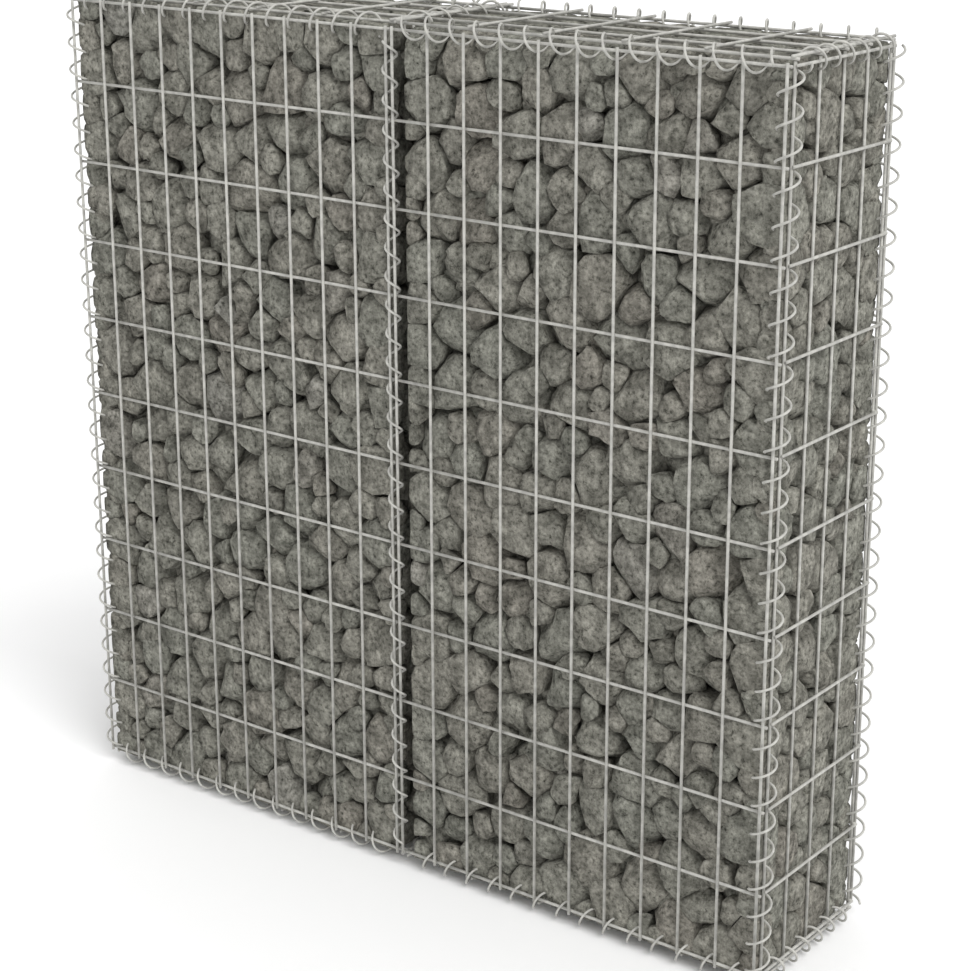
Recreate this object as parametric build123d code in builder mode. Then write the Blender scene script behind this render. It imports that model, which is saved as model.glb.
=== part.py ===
from build123d import *
import os
from math import cos, radians, sin, sqrt

# Gabion wall of two bays in millimetres, with +Z up, the front facing -Y and
# the origin under the middle of the wall, level with its lowest coil.

# Welded mesh
cells_long = 10
cells_high = 10
cells_deep = 4
cell_width = 50.0
cell_height = 100.0
mesh_wire = 3.5
wire_tip = 2.0
end_tip = 0.0
tie_tip = 5.0

# Where the panels meet
bay_gap = 8.9
front_step = 15.7
back_step = 7.1
end_step = 0.3
lid_step = 6.0

# Lacing coils
coil_wire = 3.0
upright_radius = 14.0
level_radius = 16.0
turns_per_cell = 3
coil_segments = 4
coil_sides = 3
coil_inset = 12.5
coil_hang = 1.2

# Stone fill
fill_gap = 0.3
middle_gap_left = 4.5
middle_gap_right = 20.0

# Places worked out from the sizes above. The mesh has whole cells.
bay_length = round(cells_long) * cell_width
bay_height = round(cells_high) * cell_height
bay_depth = round(cells_deep) * cell_width
ties = round(bay_length / cell_height)
coil_pitch = cell_height / turns_per_cell
front = -bay_depth / 2 - front_step
back = bay_depth / 2 + back_step
inner_end = bay_gap / 2
outer_end = inner_end + bay_length
bay_middle = (inner_end + outer_end) / 2
lid_height = bay_height + lid_step
pieces = {}


def keep(name, part):
    """Store a finished piece under its name."""
    part.label = name
    pieces[name] = part


def both_bays(name, part):
    """Keep a piece of the right bay and its mirror image in the left bay."""
    keep(f"{name}_left", mirror(part, about=Plane.YZ))
    keep(f"{name}_right", part)


def mesh_panel(plane, columns, rows, column_step, row_step, column_tip, row_tip):
    """A welded panel: upright bars in front of the plane, level bars behind it.

    The two layers meet face to face in the plane and are fused where they
    cross. The tips are how far the bars run past the last crossing.
    """
    across = round(columns) + 1
    up = round(rows) + 1
    height = (up - 1) * row_step + mesh_wire + 2 * column_tip
    width = (across - 1) * column_step + mesh_wire + 2 * row_tip
    with BuildPart() as panel:
        with BuildSketch(plane):
            with GridLocations(column_step, row_step, across, 1):
                Rectangle(mesh_wire, height)
        extrude(amount=mesh_wire)
        with BuildSketch(plane):
            with GridLocations(column_step, row_step, 1, up):
                Rectangle(width, mesh_wire)
        extrude(amount=-mesh_wire)
    return panel.part


def lacing_coil(start, radius, length, hand, first_angle):
    """A spiral of straight bars along the Z axis of the start plane.

    hand is 1 for a right-handed coil and -1 for a left-handed one, and
    first_angle is the angle, in degrees, at which it begins.
    """
    segments = round(length / coil_pitch * coil_segments)
    points = []
    for step in range(segments + 1):
        angle = radians(first_angle + hand * 360 * step / coil_segments)
        height = coil_pitch * step / coil_segments
        points.append(start.from_local_coords((radius * cos(angle), radius * sin(angle), height)))
    with BuildPart() as coil:
        with BuildLine() as path:
            Polyline(*points)
        with BuildSketch(Plane(origin=path.line @ 0, z_dir=path.line % 0)):
            RegularPolygon(coil_wire / 2, coil_sides)
        sweep(transition=Transition.RIGHT)
    return coil.part


# Long panels of one bay, with the uprights outside and the level wires inside
for name, face, side in (("front_panel", front, 1), ("back_panel", back, -1)):
    weld_face = Plane(
        origin=(bay_middle, face + side * mesh_wire / 2, bay_height / 2),
        x_dir=(1, 0, 0),
        z_dir=(0, -side, 0),
    )
    both_bays(name, mesh_panel(
        weld_face, cells_long, cells_high, cell_width, cell_height, wire_tip, wire_tip
    ))

# End panel, with the level wires outside
end_face = Plane(
    origin=(outer_end - end_step + mesh_wire / 2, 0, bay_height / 2),
    x_dir=(0, 1, 0),
    z_dir=(-1, 0, 0),
)
both_bays("end_panel", mesh_panel(
    end_face, cells_deep, cells_high, cell_width, cell_height, wire_tip, end_tip
))

# Lid and base, with the long wires inside and the ties across them outside
for name, height, side in (("lid_panel", lid_height, 1), ("base_panel", -lid_step, -1)):
    weld_face = Plane(
        origin=(bay_middle, 0, height + side * mesh_wire / 2),
        x_dir=(1, 0, 0),
        z_dir=(0, 0, side),
    )
    both_bays(name, mesh_panel(
        weld_face, ties, cells_deep, bay_length / ties, cell_width, tie_tip, wire_tip
    ))

# Stone fill of each bay: a block between the panels that stands on the base,
# its edges cut back to leave room for the coils. The right bay's fill has
# settled away from the middle.
fill_outer = outer_end - end_step - mesh_wire / 2 - fill_gap
fill_front = front + mesh_wire * 3 / 2 + fill_gap
fill_back = back - mesh_wire * 3 / 2 - fill_gap
fill_bottom = -lid_step + mesh_wire / 2
fill_top = lid_height - mesh_wire / 2 - fill_gap
edge_cut = sqrt(2) * (level_radius + coil_wire) + lid_step
for bay, side, middle_gap in (("left", -1, middle_gap_left), ("right", 1, middle_gap_right)):
    fill_inner = inner_end + middle_gap
    with BuildPart() as fill:
        with BuildSketch(Plane.XY.offset(fill_bottom)):
            with Locations((side * (fill_inner + fill_outer) / 2, (fill_front + fill_back) / 2)):
                Rectangle(fill_outer - fill_inner, fill_back - fill_front)
        extrude(amount=fill_top - fill_bottom)
        chamfer(fill.edges(), length=edge_cut)
    keep(f"stone_fill_{bay}", fill.part)

# Upright coils at the corners and at the middle of the long faces. Each starts
# at the angle where it rests against a wire that it laces.
upright = bay_height - 2 * coil_inset
for name, face, step, side, corner_angle, middle_angle in (
    ("front", front, front_step, 1, 182, 202),
    ("back", back, back_step, -1, 274, 158),
):
    corner = Plane(
        origin=(outer_end, face + side * step / 2, coil_inset),
        x_dir=(0, -side, 0),
        z_dir=(0, 0, 1),
    )
    both_bays(f"corner_coil_{name}", lacing_coil(corner, upright_radius, upright, 1, corner_angle))
    middle = Plane(
        origin=(0, face, coil_inset),
        x_dir=(0, side, 0),
        z_dir=(0, 0, 1),
    )
    keep(f"middle_coil_{name}", lacing_coil(middle, upright_radius, upright, -side, middle_angle))

# Level coils along the edges of the lid and of the base. Those of the front
# and the middle sit off the lid or base by their slack.
along = bay_length - 2 * coil_inset
across = bay_depth - 2 * coil_inset
for level, edge_height, side, front_angle, back_angle, end_angle, middle_angle in (
    ("top", bay_height + lid_step / 2, 1, 288, 156, 16, 316),
    ("bottom", -lid_step / 2, -1, 342, 258, 88, 316),
):
    slack_height = edge_height - side * coil_hang
    front_edge = Plane(
        origin=(inner_end + coil_inset, front + front_step / 2, slack_height),
        x_dir=(0, 1, 0),
        z_dir=(1, 0, 0),
    )
    both_bays(f"{level}_coil_front", lacing_coil(front_edge, level_radius, along, 1, front_angle))
    back_edge = Plane(
        origin=(inner_end + coil_inset, back - back_step / 2, edge_height),
        x_dir=(0, -1, 0),
        z_dir=(1, 0, 0),
    )
    both_bays(f"{level}_coil_back", lacing_coil(back_edge, level_radius, along, 1, back_angle))
    end_edge = Plane(
        origin=(outer_end, -bay_depth / 2 + coil_inset, edge_height),
        x_dir=(0, 0, side),
        z_dir=(0, 1, 0),
    )
    both_bays(f"{level}_coil_end", lacing_coil(end_edge, level_radius, across, 1, end_angle))
    middle_edge = Plane(
        origin=(0, -bay_depth / 2 + coil_inset, slack_height),
        x_dir=(0, 0, side),
        z_dir=(0, 1, 0),
    )
    keep(f"{level}_coil_middle", lacing_coil(middle_edge, level_radius, across, 1, middle_angle))

# The wall stands over the origin, with its lowest coil on the ground
boxes = [part.bounding_box() for part in pieces.values()]
lowest = min(box.min.Z for box in boxes)
middle_depth = (min(box.min.Y for box in boxes) + max(box.max.Y for box in boxes)) / 2
os.makedirs("parts", exist_ok=True)
for name, part in pieces.items():
    placed = Pos(0, -middle_depth, -lowest) * part
    placed.label = name
    export_step(placed, f"parts/{name}.step")
print(f"The panels' zero is moved by {-middle_depth:.3f} in Y and {-lowest:.3f} in Z")
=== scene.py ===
# %% [markdown]
# # A gabion wall of two bays
# A gabion is a basket of welded wire mesh that is filled with stones. This one
# has two bays side by side. Spiral wires lace the panels of each basket to one
# another, and the two baskets to each other.
#
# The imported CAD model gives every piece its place. This lesson dresses it: the
# square bars of the solids become round galvanised wires, the straight-sided
# coils become true spirals, and each block of fill becomes a packing of
# single stones.

# %% Load the frame
from itertools import product
from math import exp, pi, radians
from random import Random

import bmesh
import bpy
from mathutils import Euler, Matrix, Quaternion, Vector, noise


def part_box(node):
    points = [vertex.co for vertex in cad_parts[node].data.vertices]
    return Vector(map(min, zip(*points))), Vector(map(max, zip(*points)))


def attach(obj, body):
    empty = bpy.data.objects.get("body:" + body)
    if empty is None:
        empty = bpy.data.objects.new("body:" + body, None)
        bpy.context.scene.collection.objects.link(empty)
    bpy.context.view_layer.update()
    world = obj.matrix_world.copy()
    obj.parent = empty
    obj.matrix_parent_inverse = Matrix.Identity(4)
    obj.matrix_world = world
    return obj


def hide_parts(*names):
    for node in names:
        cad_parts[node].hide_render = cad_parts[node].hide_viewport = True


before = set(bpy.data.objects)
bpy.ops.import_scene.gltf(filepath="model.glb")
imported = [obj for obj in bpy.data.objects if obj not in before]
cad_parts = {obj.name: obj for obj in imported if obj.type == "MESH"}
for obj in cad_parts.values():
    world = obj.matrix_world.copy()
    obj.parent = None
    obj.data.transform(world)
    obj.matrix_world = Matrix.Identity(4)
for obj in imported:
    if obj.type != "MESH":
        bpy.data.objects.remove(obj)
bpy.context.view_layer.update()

# %% [markdown]
# ## Sizes
# Blender counts in metres and the wall is drawn in millimetres, so one name,
# mm, turns one into the other. The panels stand where the CAD boxes say, and
# only the sizes that a box can't tell are written here: the wire's diameter,
# the mesh steps and the spirals. X, Y and Z stand for the numbers of the axes,
# and outside is -1 in the left bay and 1 in the right one.

# %% Sizes of the wires and of the spirals
X, Y, Z = 0, 1, 2
bays = (("left", -1), ("right", 1))
mm = 0.001
mesh_wire = 3.5 * mm
mesh_radius = mesh_wire / 2
weld_sink = 0.4 * mm
cells_long, cells_high, cells_deep = 10, 10, 4
cell_width = 50 * mm
cell_height = 100 * mm
tie_step = 100 * mm
coil_wire = 2.8 * mm
coil_radius = 12.8 * mm
coil_pitch = cell_height / 3
coil_inset = 12.5 * mm

front_low, front_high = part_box("front_panel_right")
end_low, end_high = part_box("end_panel_right")
foot = (front_low.z + front_high.z) / 2 - cells_high / 2 * cell_height
head = foot + cells_high * cell_height
inner = (front_low.x + front_high.x) / 2 - cells_long / 2 * cell_width
outer = inner + cells_long * cell_width
front = front_low.y + mesh_radius
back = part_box("back_panel_right")[1].y - mesh_radius
side_front = (end_low.y + end_high.y) / 2 - cells_deep / 2 * cell_width
side_back = side_front + cells_deep * cell_width
lid_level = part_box("lid_panel_right")[0].z + mesh_radius
base_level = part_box("base_panel_right")[1].z - mesh_radius

# The lines that the spirals go round: the edges where two panels meet
front_edge = (front + side_front) / 2
back_edge = (back + side_back) / 2
top_edge = (head + lid_level) / 2
bottom_edge = (foot + base_level) / 2
print("mesh from", round(foot / mm, 2), "to", round(head / mm, 2), "mm up")

# %% [markdown]
# ## A small kit for nodes and pieces
# Colours are picked as they look on a screen, in sRGB, but a shader wants
# linear light, so one function turns one into the other. A second function
# adds a node with its settings and its links, and a third turns a finished
# bmesh into an object that rides on the wall's one body.

# %% Helpers
def linear(hex_colour):
    """A colour written as on a screen, as the linear RGBA that a shader wants."""
    channels = [int(hex_colour[i:i + 2], 16) / 255 for i in (1, 3, 5)]
    return (*[c / 12.92 if c <= 0.04045 else ((c + 0.055) / 1.055) ** 2.4 for c in channels], 1)


def add_node(tree, kind, settings=(), inputs=(), links=()):
    """Add a node, set its properties and sockets, and link sockets to it."""
    made = tree.nodes.new(kind)
    for name, value in dict(settings).items():
        setattr(made, name, value)
    for name, value in dict(inputs).items():
        made.inputs[name].default_value = value
    for name, socket in dict(links).items():
        tree.links.new(socket, made.inputs[name])
    return made


def new_material(name):
    """An empty node material with its output node."""
    material = bpy.data.materials.new(name)
    material.use_nodes = True
    material.node_tree.nodes.clear()
    return material, material.node_tree


def finish_piece(bm, name, material, nodes):
    """Turn a bmesh into an object of the wall that stands for its CAD nodes."""
    mesh = bpy.data.meshes.new(name)
    bm.to_mesh(mesh)
    bm.free()
    mesh.polygons.foreach_set("use_smooth", [True] * len(mesh.polygons))
    mesh.materials.append(material)
    piece = bpy.data.objects.new(name, mesh)
    bpy.context.scene.collection.objects.link(piece)
    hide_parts(*nodes)
    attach(piece, "root")
    return piece

# %% [markdown]
# ## Hot-dip galvanised steel wire
# Mild steel wire is dipped in molten zinc, which freezes as a pale grey skin.
# New zinc is bright, but outdoors a thin matt crust soon grows on it. So the
# wire is drawn as one third bare metal and two thirds crust, with a soft shine
# that changes a little from place to place.

# %% Material of the wires
bloom_size = 9 * mm
crust_grain = 1.2 * mm


def galvanised_wire():
    """Zinc under a thin crust: pale grey, nearly matt, in soft blotches."""
    material, tree = new_material("hot_dip_galvanised_steel_wire")
    place = add_node(tree, "ShaderNodeTexCoord")
    bloom = add_node(tree, "ShaderNodeTexNoise",
                     inputs={"Scale": 1 / bloom_size, "Detail": 3},
                     links={"Vector": place.outputs["Object"]})
    grain = add_node(tree, "ShaderNodeTexNoise",
                     inputs={"Scale": 1 / crust_grain, "Detail": 2},
                     links={"Vector": place.outputs["Object"]})
    zinc = add_node(tree, "ShaderNodeValToRGB", links={"Fac": bloom.outputs["Fac"]})
    zinc.color_ramp.elements[0].position = 0.36
    zinc.color_ramp.elements[0].color = linear("#adaca7")
    zinc.color_ramp.elements[1].position = 0.66
    zinc.color_ramp.elements[1].color = linear("#c8c7c1")
    gloss = add_node(tree, "ShaderNodeMapRange",
                     inputs={"From Min": 0.3, "From Max": 0.7, "To Min": 0.7, "To Max": 0.85},
                     links={"Value": bloom.outputs["Fac"]})
    skin = add_node(tree, "ShaderNodeBump", inputs={"Strength": 0.25, "Distance": 0.1 * mm},
                    links={"Height": grain.outputs["Fac"]})
    steel = add_node(tree, "ShaderNodeBsdfPrincipled", inputs={"Metallic": 0.3},
                     links={"Base Color": zinc.outputs["Color"],
                            "Roughness": gloss.outputs["Result"],
                            "Normal": skin.outputs["Normal"]})
    add_node(tree, "ShaderNodeOutputMaterial", links={"Surface": steel.outputs["BSDF"]})
    return material


zinc_wire = galvanised_wire()
print("material", zinc_wire.name)

# %% [markdown]
# ## Welded mesh panels
# Each panel is two layers of straight wire that are welded where they cross.
# A cylinder made by one operator is a true straight wire. The level layer is
# pressed a little way into the uprights, as a resistance weld does, and a
# small bead stands at each weld.

# %% One wire, and where the wires of a panel stand
wire_sides = 12
wire_turns = {X: Matrix.Rotation(pi / 2, 4, "Y"), Y: Matrix.Rotation(pi / 2, 4, "X"), Z: Matrix()}


def straight_wire(bm, middle, axis, length):
    """A round wire along one of the three axes."""
    bmesh.ops.create_cone(bm, cap_ends=True, segments=wire_sides,
                          radius1=mesh_radius, radius2=mesh_radius, depth=length,
                          matrix=Matrix.Translation(middle) @ wire_turns[axis])


def spread(length, step):
    """The offsets from a panel's middle of as many wires as its length holds."""
    count = int(length / step + 0.5) + 1
    return [(i - (count - 1) / 2) * step for i in range(count)]


uprights = spread(cells_long * cell_width, cell_width)
print("front wires at", [round(offset / mm) for offset in uprights])

# %% Round wires between the faces of a CAD box
bead_width = 1.9 * mm
bead_depth = 1.2 * mm


def welded_panel(node, across, up, across_step, up_step, upright_side):
    """A panel of round wires in the box of a CAD node.

    across and up are the axes of the level wires and of the uprights, and
    upright_side says on which face of the box the uprights are.
    """
    low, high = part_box(node)
    middle = (low + high) / 2
    size = high - low
    normal = 3 - across - up
    columns = spread(size[across], across_step)
    rows = spread(size[up], up_step)
    upright_face = high[normal] if upright_side > 0 else low[normal]
    upright_level = upright_face - upright_side * mesh_radius
    cross_level = upright_level - upright_side * (mesh_wire - weld_sink)
    bead = Vector((bead_width,) * 3)
    bead[normal] = bead_depth

    def place(column, row, level):
        at = middle.copy()
        at[across] += column
        at[up] += row
        at[normal] = level
        return at

    bm = bmesh.new()
    for column in columns:
        straight_wire(bm, place(column, 0, upright_level), up, size[up])
    for row in rows:
        straight_wire(bm, place(0, row, cross_level), across, size[across])
    for column in columns:
        for row in rows:
            weld = Matrix.Translation(place(column, row, (upright_level + cross_level) / 2))
            bmesh.ops.create_icosphere(bm, subdivisions=1, radius=1,
                                       matrix=weld @ Matrix.Diagonal((*bead, 1)))
    return finish_piece(bm, node.replace("panel", "mesh"), zinc_wire, [node])


faces = 0
for bay, outside in bays:
    for panel, across, up, across_step, up_step, upright_side in (
        ("front", X, Z, cell_width, cell_height, -1),
        ("back", X, Z, cell_width, cell_height, 1),
        ("end", Y, Z, cell_width, cell_height, -outside),
        ("lid", X, Y, tie_step, cell_width, 1),
        ("base", X, Y, tie_step, cell_width, -1),
    ):
        piece = welded_panel(f"{panel}_panel_{bay}", across, up,
                             across_step, up_step, upright_side)
        faces += len(piece.data.polygons)
print("mesh panels have", faces, "faces")

# %% [markdown]
# ## Lacing spirals
# A spiral is drawn by spinning a small ring round an axis while it moves along
# it, which is what the spin operator does when it has a step. The ring is
# tilted by the spiral's own slope, so that the wire stays round. A slow noise
# bends each spiral a little, because hand-turned lacing is never quite even.

# %% Spin a ring into a spiral
coil_steps = 20
coil_sides = 8
waver = 0.35 * mm
waver_length = 60 * mm


def spiral(name, nodes, start, first, along, length, hand, angle, seed,
           radius=coil_radius, pitch=coil_pitch):
    """A spiral wire along an axis.

    first and along are the directions of angle zero and of the axis, hand is 1
    for a right-handed spiral, and angle is where the wire starts, in degrees.
    """
    first, along = Vector(first), Vector(along)
    second = along.cross(first)
    steps = round(length / pitch * coil_steps)
    slope = Vector((0, hand * 2 * pi * radius, pitch)).normalized()
    tilt = Vector((0, 0, 1)).rotation_difference(slope).to_matrix().to_4x4()
    bm = bmesh.new()
    bmesh.ops.create_circle(bm, cap_ends=False, segments=coil_sides, radius=coil_wire / 2,
                            matrix=Matrix.Translation((radius, 0, 0)) @ tilt)
    bmesh.ops.rotate(bm, cent=(0, 0, 0), matrix=Matrix.Rotation(radians(angle), 3, "Z"),
                     verts=bm.verts[:])
    bmesh.ops.spin(bm, geom=bm.verts[:] + bm.edges[:], cent=(0, 0, 0), axis=(0, 0, 1),
                   dvec=(0, 0, pitch / coil_steps), angle=hand * 2 * pi * steps / coil_steps,
                   steps=steps, use_duplicate=False)
    bmesh.ops.holes_fill(bm, edges=[edge for edge in bm.edges if edge.is_boundary])
    bmesh.ops.recalc_face_normals(bm, faces=bm.faces[:])
    for vert in bm.verts:
        at = vert.co.z / waver_length
        vert.co.x += waver * noise.noise(Vector((at, seed, 0.3)))
        vert.co.y += waver * noise.noise(Vector((at, seed, 7.3)))
    place = Matrix((first, second, along)).transposed().to_4x4()
    place.translation = Vector(start)
    bmesh.ops.transform(bm, matrix=place, verts=bm.verts[:])
    return finish_piece(bm, name, zinc_wire, nodes)


print("one turn has", coil_steps * coil_sides, "faces")

# %% [markdown]
# The upright spirals stand at the corners and at the middle of the long
# faces. The middle ones go round two wires that stand side by side, so they
# are wound tighter. At the back right corner the spiral's end hangs down past
# the mesh.

# %% Upright spirals
cut_end = 1 * mm
corner_length = cells_high * cell_height - 2 * cut_end
middle_length = cells_high * cell_height - 2 * coil_inset
middle_radius = 8.2 * mm
corner_drops = {("back", "right"): 5 * mm}
corner_angles = {"front": {"left": 193, "right": 159}, "back": {"left": 193, "right": 87}}
for face, edge, middle_level, middle_angle, middle_hand in (
    ("front", front_edge, front + 1.5 * mm, 330, -1),
    ("back", back_edge, back, 0, 1),
):
    for bay, outside in bays:
        drop = corner_drops.get((face, bay), 0)
        angle = corner_angles[face][bay] - 360 * drop / coil_pitch
        spiral(f"corner_spiral_{face}_{bay}", [f"corner_coil_{face}_{bay}"],
               (outside * outer, edge, foot + cut_end - drop), (outside, 0, 0), (0, 0, 1),
               corner_length + drop, outside, angle, 3 + outside)
    spiral(f"middle_spiral_{face}", [f"middle_coil_{face}"],
           (0, middle_level, foot + coil_inset), (1, 0, 0), (0, 0, 1),
           middle_length, middle_hand, middle_angle, 11, middle_radius)
print("a corner spiral has", round(corner_length / coil_pitch, 1), "turns")

# %% [markdown]
# The level spirals run along the edges of the lids and of the bases. Along the
# front foot they turn the other way from those of the lid. The wall stands on
# the spirals at the back and at the middle of its foot, which hang lower.

# %% Level spirals
along_bay = cells_long * cell_width - 2 * coil_inset
along_end = cells_deep * cell_width - 2 * coil_inset
end_turns = 7
end_pitch = cells_deep * cell_width / end_turns
tight_radius = 11.6 * mm
back_angle = 261
lid_angles = {"left": 285, "right": 285}
foot_angles = {"left": 108, "right": 256}
for level, height, way, front_radius, front_angles, end_angle, end_drop, hidden_drop in (
    ("top", top_edge, 1, coil_radius, lid_angles, 10, 0, 0),
    ("bottom", bottom_edge, -1, tight_radius, foot_angles, 119, 1.2 * mm, 3.1 * mm),
):
    for bay, outside in bays:
        for face, edge, drop, hand, radius, angle in (
            ("front", front_edge, 0, way * outside, front_radius, front_angles[bay]),
            ("back", back_edge, hidden_drop, outside, coil_radius, back_angle),
        ):
            spiral(f"{level}_spiral_{face}_{bay}", [f"{level}_coil_{face}_{bay}"],
                   (outside * (inner + coil_inset), edge, height - drop),
                   (0, -1, 0), (outside, 0, 0), along_bay, hand, angle, 20 + outside, radius)
        spiral(f"{level}_spiral_end_{bay}", [f"{level}_coil_end_{bay}"],
               (outside * outer, side_front + coil_inset, height - end_drop),
               (outside, 0, 0), (0, 1, 0), along_end, outside, end_angle, 30 + outside,
               tight_radius, end_pitch)
    spiral(f"{level}_spiral_middle", [f"{level}_coil_middle"],
           (0, side_front + coil_inset, height - hidden_drop),
           (1, 0, 0), (0, 1, 0), along_end, 1, 0, 40)
print("a level spiral along a bay has", round(along_bay / coil_pitch, 1), "turns")

# %% [markdown]
# ## Crushed stone
# The fill is crushed grey rock of about 35 to 80 mm: lumps with broken faces,
# worn round at the edges, rough to the touch and speckled. Its dust makes
# every lump a slightly different grey, a few of them warmer. A colour that
# each stone carries in its mesh shifts the pattern and the tint.

# %% Material of the stones
grit_size = 5.5 * mm
lump_size = 15 * mm
patch_size = 19 * mm


def ramp(tree, factor, *stops):
    """A colour ramp with its stops written as (position, hex colour)."""
    made = add_node(tree, "ShaderNodeValToRGB", links={"Fac": factor})
    elements = made.color_ramp.elements
    while len(elements) < len(stops):
        elements.new(1.0)
    for element, (position, colour) in zip(elements, stops):
        element.position = position
        element.color = linear(colour)
    return made.outputs["Color"]


def multiply(tree, first, second):
    """One colour times another."""
    made = add_node(tree, "ShaderNodeMix", {"data_type": "RGBA", "blend_type": "MULTIPLY"},
                    {"Factor": 1.0})
    tree.links.new(first, made.inputs["A"])
    tree.links.new(second, made.inputs["B"])
    return made.outputs["Result"]


def crushed_stone():
    """Rough grey rock: grit on soft patches, and its own tint for each stone."""
    material, tree = new_material("crushed_grey_quarry_stone")
    place = add_node(tree, "ShaderNodeTexCoord")
    tag = add_node(tree, "ShaderNodeAttribute", {"attribute_name": "stone"})
    shift = add_node(tree, "ShaderNodeVectorMath", {"operation": "MULTIPLY"},
                     {1: (3.1, 1.7, 2.3)}, {0: tag.outputs["Color"]})
    where = add_node(tree, "ShaderNodeVectorMath", {"operation": "ADD"},
                     links={0: place.outputs["Object"], 1: shift.outputs["Vector"]})

    def pattern(size, detail, roughness):
        return add_node(tree, "ShaderNodeTexNoise",
                        inputs={"Scale": 1 / size, "Detail": detail, "Roughness": roughness},
                        links={"Vector": where.outputs["Vector"]}).outputs["Fac"]

    grit = pattern(grit_size, 7, 0.72)
    patches = ramp(tree, pattern(patch_size, 4, 0.6), (0.36, "#7e7e78"), (0.66, "#b6b6af"))
    grains = ramp(tree, grit, (0.33, "#62625f"), (0.45, "#c8c8c6"), (0.62, "#ffffff"))
    dust = ramp(tree, tag.outputs["Fac"], (0.0, "#dcdad6"), (0.3, "#f4f0eb"),
                (0.55, "#ebebe6"), (0.8, "#f1ebe6"), (1.0, "#ffffff"))
    pits = add_node(tree, "ShaderNodeBump", inputs={"Strength": 0.8, "Distance": 2.5 * mm},
                    links={"Height": grit})
    rough = add_node(tree, "ShaderNodeBump", inputs={"Strength": 1.0, "Distance": 6 * mm},
                     links={"Height": pattern(lump_size, 4, 0.55),
                            "Normal": pits.outputs["Normal"]})
    stone = add_node(tree, "ShaderNodeBsdfPrincipled",
                     inputs={"Roughness": 0.92, "Specular IOR Level": 0.2},
                     links={"Base Color": multiply(tree, multiply(tree, patches, grains), dust),
                            "Normal": rough.outputs["Normal"]})
    add_node(tree, "ShaderNodeOutputMaterial", links={"Surface": stone.outputs["BSDF"]})
    return material


grey_stone = crushed_stone()
print("material", grey_stone.name)

# %% [markdown]
# ## Packing the fill
# The stones keep out of the way of the spirals, which are wound on when the
# basket is full. They also leave an open gap beside the middle wires. Two
# small functions see to that: one pushes a point off the axes of the spirals,
# and the other leads the stones of the two bays together behind the gap, so
# that no light shows through the wall.

# %% Room for the spirals and the gap
left_limit = -9 * mm
right_limit = 17 * mm
gap_depth = 45 * mm
gap_slope = 30 * mm
gap_reach = 15 * mm
gap_side = 80 * mm
coil_room = 4 * mm
open_room = 12 * mm
long_edges = (front_edge, back_edge)
level_edges = (top_edge, bottom_edge)
coil_axes = [(Z, Vector((0, y, 0))) for y in (front, back)]
coil_axes += [(Z, Vector((x, y, 0))) for x in (-outer, outer) for y in long_edges]
coil_axes += [(X, Vector((0, y, z))) for y in long_edges for z in level_edges]
coil_axes += [(Y, Vector((x, 0, z))) for x in (-outer, 0, outer) for z in level_edges]
open_edge = Vector((0, front_edge, top_edge))
open_side = Vector((0, 1, -1)).normalized()


def off_the_coils(point):
    """Push a point away from the axes of the coils.

    The stones of the right bay also lie back from the coil of the top front
    edge, so that its turns show in front of them.
    """
    if point.x > 0:
        past = open_room - (point - open_edge).dot(open_side)
        if past > 0:
            point += open_side * past
    for axis, through in coil_axes:
        off = point - through
        off[axis] = 0
        if off.length < coil_room:
            point += off * (coil_room / max(off.length, mm) - 1)
    return point


def close_gap(point, low, high):
    """Lead the stones of the middle together behind the gap that shows.

    low and high are the corners of the bay's fill.
    """
    side, limit = (1, right_limit) if point.x > 0 else (-1, left_limit)
    behind = min(point.y - low.y, high.y - point.y) - gap_depth
    share = min(max(behind / gap_slope, 0), 1) * max(1 - abs(point.x - limit) / gap_side, 0)
    point.x -= side * gap_reach * share
    return point


print("the gap spans", round((right_limit - left_limit) / mm), "mm and closes behind",
      round(gap_depth / mm), "mm")

# %% [markdown]
# Only the outer stones of a bay can be seen, so the fill is a skin of full
# stones and a coarser layer that closes the gaps behind it. Places for stones
# are dropped like darts on the edges and faces of the fill, the large ones
# first. A dart counts only where it has room, which leaves the small gaps to
# the small stones, as in a real basket.

# %% Drop the stones
stone_sizes = (  # radius in mm, darts along the edges, darts on the faces
    (33, 60, 700), (29, 300, 1600), (25, 700, 3500), (21, 1200, 6000),
    (17, 1500, 9000), (13.5, 1500, 9000), (10.5, 1600, 0),
)
crowding = 0.86
cell_size = 80 * mm


def cell_of(point):
    """The cell that a point is in, as three whole numbers."""
    return tuple(int(c // cell_size) for c in point)


def near_stones(cells, point):
    """The stones of the cell that a point is in and of the cells round it."""
    key = cell_of(point)
    return [stone for i in (-1, 0, 1) for j in (-1, 0, 1) for k in (-1, 0, 1)
            for stone in cells.get((key[0] + i, key[1] + j, key[2] + k), ())]


def drop_stones(low, high, seed):
    """Places of the stones of one bay's skin, kept in cells by where they are."""
    rng = Random(seed)
    size = high - low
    areas = (size.y * size.z, size.x * size.z, size.x * size.y)
    cells = {}
    for radius_mm, edge_darts, face_darts in stone_sizes:
        for dart in range(edge_darts + face_darts):
            radius = radius_mm * mm * rng.uniform(0.93, 1.07)
            centre = Vector([rng.uniform(low[i] + radius * 0.75, high[i] - radius * 0.75)
                             for i in range(3)])
            if dart < edge_darts:
                along = rng.choices((X, Y, Z), size)[0]
                bed = radius * rng.uniform(0.68, 0.8)
                pressed = [axis for axis in (X, Y, Z) if axis != along]
            else:
                bed = radius * rng.uniform(0.82, 1.05)
                pressed = rng.choices((X, Y, Z), areas)
            for axis in pressed:
                centre[axis] = rng.choice((low[axis] + bed, high[axis] - bed))
            if all((centre - other).length > crowding * (radius + other_radius)
                   for other, other_radius in near_stones(cells, centre)):
                cells.setdefault(cell_of(centre), []).append((centre, radius))
    return cells


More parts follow.
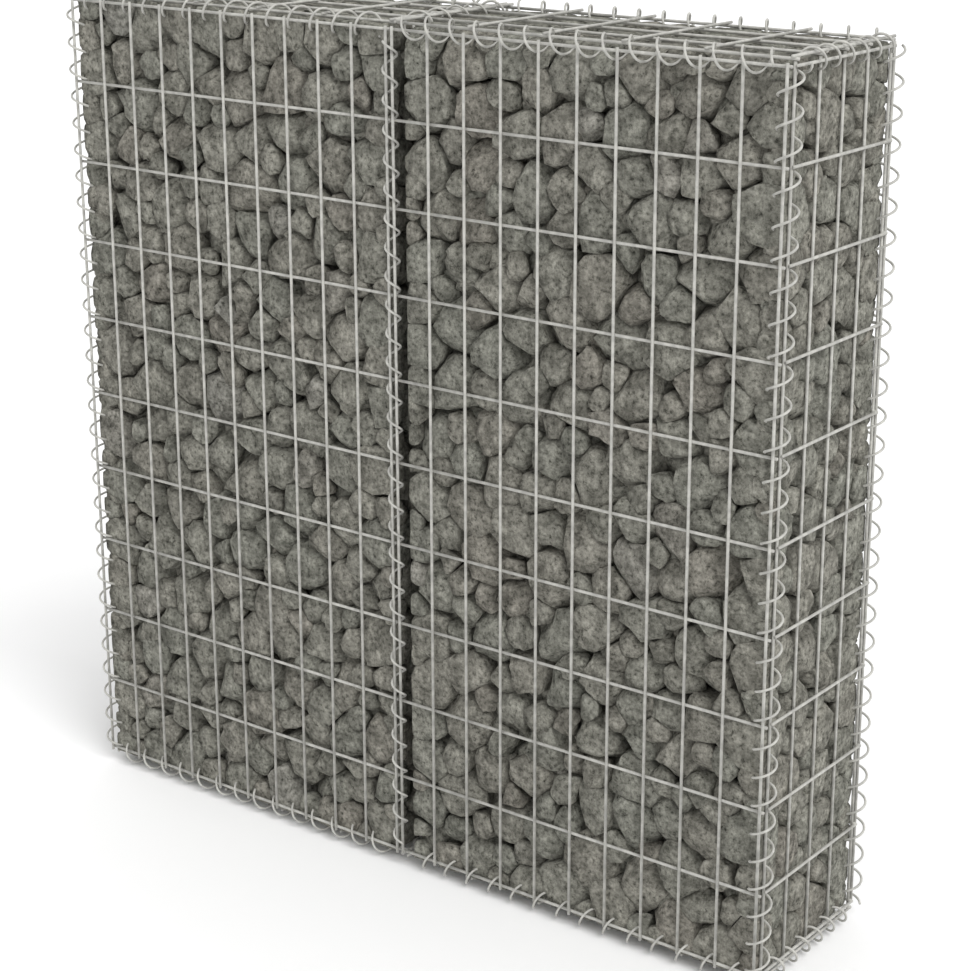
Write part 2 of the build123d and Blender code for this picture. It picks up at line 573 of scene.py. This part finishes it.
print("radii of the places:", [size[0] for size in stone_sizes], "mm")

# %% [markdown]
# Every stone starts as a ball that is too large for its place. A plane half
# way to each neighbour cuts it back, by pressing in whatever stands past the
# plane, and a few planes at random break off its corners. A noise roughens
# what is left, and the mesh presses it flat. So the stones fit one another
# with thin dark joints, and no two of them are the same.

# %% Balls to cut from
def ball(squares):
    """A round ball: a cube cut into squares and blown up."""
    bm = bmesh.new()
    bmesh.ops.create_cube(bm, size=2)
    bmesh.ops.subdivide_edges(bm, edges=bm.edges[:], cuts=squares - 1, use_grid_fill=True)
    for vert in bm.verts:
        vert.co.normalize()
    mesh = bpy.data.meshes.new("ball")
    bm.to_mesh(mesh)
    bm.free()
    return mesh


fine_ball, coarse_ball = ball(4), ball(2)
print("a stone has", len(fine_ball.polygons), "squares, one behind it", len(coarse_ball.polygons))

# %% Cut a stone to fit
# The chips' depths, the swell and the two reaches count in radii of the place,
# and the joints in millimetres.
give = 2.5 * mm
face_reach = 1.1
neighbour_reach = 2.2
chips = 5
chip_depths = (0.8, 1.1)
plane_tilt = 0.16
joints = (-1.8, 1.4)
swell = (1.35, 1.75)
pressing = 0.9
knob_size = 14 * mm
knob_height = 0.13


def random_direction(rng):
    """A direction that is as likely as any other."""
    return Vector([rng.gauss(0, 1) for _ in range(3)]).normalized()


def settle(point, low, high):
    """Press a point of a stone inside the mesh and off the coils' axes."""
    for axis in range(3):
        past = point[axis] - (high[axis] - give)
        if past > 0:
            point[axis] = high[axis] - give * exp(-past / give)
        past = (low[axis] + give) - point[axis]
        if past > 0:
            point[axis] = low[axis] + give * exp(-past / give)
    return close_gap(off_the_coils(point), low, high)


def fitting_cuts(centre, radius, near, low, high, rng):
    """The planes that cut one stone, as a direction and a depth each.

    A stone at an edge of the fill isn't chipped on its outer sides, because
    that would open a hole to see through.
    """
    past_high = [centre[i] > high[i] - face_reach * radius for i in range(3)]
    past_low = [centre[i] < low[i] + face_reach * radius for i in range(3)]
    outward = Vector([past_high[i] - past_low[i] for i in range(3)])
    cuts = []
    for _ in range(chips):
        direction = random_direction(rng)
        if outward.length < 1.2 or direction.dot(outward) < 0.3:
            cuts.append((direction, radius * rng.uniform(*chip_depths)))
    for other, other_radius in near:
        gap = other - centre
        if 0 < gap.length < neighbour_reach * (radius + other_radius):
            tilt = random_direction(rng) * plane_tilt
            half_way = gap.length * radius / (radius + other_radius)
            joint = rng.uniform(*joints) * mm
            cuts.append(((gap.normalized() + tilt).normalized(), half_way + joint))
    return cuts


def lay_stone(wall, shape, centre, radius, near, low, high, rng, tray):
    """Cut one stone to fit between those near it and add it to the wall.

    shape is the ball that it is cut from, low and high are the corners of the
    fill, and tray is a mesh that each stone passes through.
    """
    cuts = fitting_cuts(centre, radius, near, low, high, rng)
    stretch = Matrix.Diagonal([radius * rng.uniform(*swell) for _ in range(3)])
    turn = Euler([rng.uniform(0, 2 * pi) for _ in range(3)]).to_matrix()
    stone = bmesh.new()
    stone.from_mesh(shape)
    bmesh.ops.transform(stone, matrix=(turn @ stretch).to_4x4(), verts=stone.verts[:])
    tag = stone.verts.layers.float_color.new("stone")
    label = (rng.random(), rng.random(), rng.random(), 1)
    for vert in stone.verts:
        for direction, depth in cuts:
            past = vert.co.dot(direction) - depth
            if past > 0:
                vert.co -= direction * past * pressing
        knobs = noise.fractal((vert.co + centre) / knob_size, 0.8, 2.1, 3)
        vert.co = settle(centre + vert.co * (1 + knob_height * knobs), low, high)
        vert[tag] = label
    stone.to_mesh(tray)
    stone.free()
    wall.from_mesh(tray)


print("each stone is cut by", chips, "planes at random and one for each neighbour")

# %% [markdown]
# Behind the skin, coarse stones stand on a loose grid, one layer deep, and a
# post of small ones stands inside each outer upright edge. They only close
# what the joints of the skin leave open.

# %% The layer behind the skin
deep_radius = 24 * mm
deep_bed = 48 * mm
deep_step = 40 * mm
deep_scatter = 7
post_radius = 12 * mm
post_bed = 13 * mm
post_step = 22 * mm


def deep_stones(low, high, outside, rng, tray):
    """A bmesh of the stones behind the skin of one bay."""
    deep = bmesh.new()
    room = [high[n] - low[n] - 2 * deep_bed for n in range(3)]
    counts = [int(room[n] / deep_step) + 1 for n in range(3)]
    for cell in product(*(range(count + 1) for count in counts)):
        if any(cell[n] in (0, counts[n]) for n in range(3)):
            centre = Vector([low[n] + deep_bed + room[n] * cell[n] / counts[n]
                             + rng.uniform(-deep_scatter, deep_scatter) * mm for n in range(3)])
            lay_stone(deep, coarse_ball, centre, deep_radius, (), low, high, rng, tray)
    corner = low.x + post_bed if outside < 0 else high.x - post_bed
    for depth in (low.y + post_bed, high.y - post_bed):
        for k in range(int((high.z - low.z) / post_step)):
            centre = Vector((corner, depth, low.z + (k + 0.5) * post_step))
            lay_stone(deep, coarse_ball, centre, post_radius, (), low, high, rng, tray)
    return deep


print("the stones behind the skin stand", round(deep_bed / mm), "mm deep")

# %% Fill the two bays
for bay, outside in bays:
    low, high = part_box(f"stone_fill_{bay}")
    if bay == "left":
        high.x = left_limit
    else:
        low.x = right_limit
    rng = Random(100 + outside)
    cells = drop_stones(low, high, 7 + outside)
    skin = [stone for cell in cells.values() for stone in cell]
    groups = {"front": bmesh.new(), "back": bmesh.new(), "edges": bmesh.new()}
    tray = bpy.data.meshes.new("tray")
    for centre, radius in skin:
        group = "edges"
        if centre.y < low.y + face_reach * radius:
            group = "front"
        elif centre.y > high.y - face_reach * radius:
            group = "back"
        near = near_stones(cells, centre)
        lay_stone(groups[group], fine_ball, centre, radius, near, low, high, rng, tray)
    groups["deep"] = deep_stones(low, high, outside, rng, tray)
    print(bay, "bay:", len(skin), "stones in the skin")
    for group, bm in groups.items():
        piece = finish_piece(bm, f"stones_{group}_{bay}", grey_stone,
                             [f"stone_fill_{bay}"])
        print(piece.name, len(piece.data.polygons), "squares")

# %% [markdown]
# ## Floor, light and camera
# The wall stands on a plain pale floor in plain soft light. The world is white
# for the camera and for reflections, and gives a level light otherwise.

# %% Floor
floor_size = 60


def any_ray(tree, *kinds):
    """1 for a ray of any of these kinds and 0 for any other."""
    ray = add_node(tree, "ShaderNodeLightPath")
    total = ray.outputs[kinds[0]]
    for kind in kinds[1:]:
        total = add_node(tree, "ShaderNodeMath", {"operation": "MAXIMUM"},
                         links={0: total, 1: ray.outputs[kind]}).outputs["Value"]
    return total


floor_bm = bmesh.new()
bmesh.ops.create_grid(floor_bm, x_segments=1, y_segments=1, size=floor_size / 2)
floor_mesh = bpy.data.meshes.new("floor")
floor_bm.to_mesh(floor_mesh)
floor_bm.free()
floor = bpy.data.objects.new("floor", floor_mesh)
bpy.context.scene.collection.objects.link(floor)
floor_material, tree = new_material("plain_white_floor")
paper = add_node(tree, "ShaderNodeBsdfDiffuse", inputs={"Color": linear("#fdfdfd")})
white = add_node(tree, "ShaderNodeEmission", inputs={"Strength": 1.0})
ground = add_node(tree, "ShaderNodeMixShader",
                  links={"Fac": any_ray(tree, "Is Glossy Ray", "Is Transmission Ray")})
tree.links.new(paper.outputs["BSDF"], ground.inputs[1])
tree.links.new(white.outputs["Emission"], ground.inputs[2])
add_node(tree, "ShaderNodeOutputMaterial", links={"Surface": ground.outputs["Shader"]})
floor_mesh.materials.append(floor_material)
print("floor", floor_material.name)

# %% World and lamp
world = bpy.data.worlds.new("studio")
bpy.context.scene.world = world
world.use_nodes = True
tree = world.node_tree
tree.nodes.clear()
seen = any_ray(tree, "Is Camera Ray", "Is Glossy Ray", "Is Transmission Ray")
strength = add_node(tree, "ShaderNodeMapRange", inputs={"To Min": 0.82, "To Max": 1.0},
                    links={"Value": seen})
sky = add_node(tree, "ShaderNodeBackground", inputs={"Color": (1, 1, 1, 1)},
               links={"Strength": strength.outputs["Result"]})
add_node(tree, "ShaderNodeOutputWorld", links={"Surface": sky.outputs["Background"]})

key = bpy.data.lights.new("key", "SUN")
key.energy = 1.7
key.angle = radians(35)
key_object = bpy.data.objects.new("key", key)
key_object.rotation_euler = Vector((-0.65, 0.25, -0.75)).to_track_quat("-Z", "Y").to_euler()
bpy.context.scene.collection.objects.link(key_object)
print("world", world.name, "and lamp", key.type)

# %% [markdown]
# The camera stands where the photograph's did. Its place and its focal length,
# in pixels of the photograph, came from fitting the grid of the mesh. It looks
# down by 17 degrees from the right and leans by a quarter of a degree. Its
# axis meets the picture at axis_right and axis_down and not at the middle,
# because the photograph was cut off centre, so the picture is shifted.

# %% Camera
frame_width, frame_height = 970, 971
focal_pixels = 2238.13
axis_right, axis_down = 530.955, 444.238
sensor = 36
camera_data = bpy.data.cameras.new("camera")
camera_data.sensor_width = sensor
camera_data.lens = focal_pixels / frame_height * sensor
camera_data.shift_x = (frame_width / 2 - axis_right) / frame_height
camera_data.shift_y = (axis_down - frame_height / 2) / frame_height
camera = bpy.data.objects.new("camera", camera_data)
camera.location = (1594.70 * mm + inner, -1909.89 * mm + front, 1287.61 * mm + foot)
level_view = Vector((-0.56568, 0.77051, -0.29381)).to_track_quat("-Z", "Y")
camera.rotation_euler = (level_view @ Quaternion((0, 0, 1), radians(0.248))).to_euler()
bpy.context.scene.collection.objects.link(camera)
bpy.context.scene.camera = camera
bpy.context.scene.view_settings.view_transform = "Standard"
print("lens", round(camera_data.lens, 2), "mm")
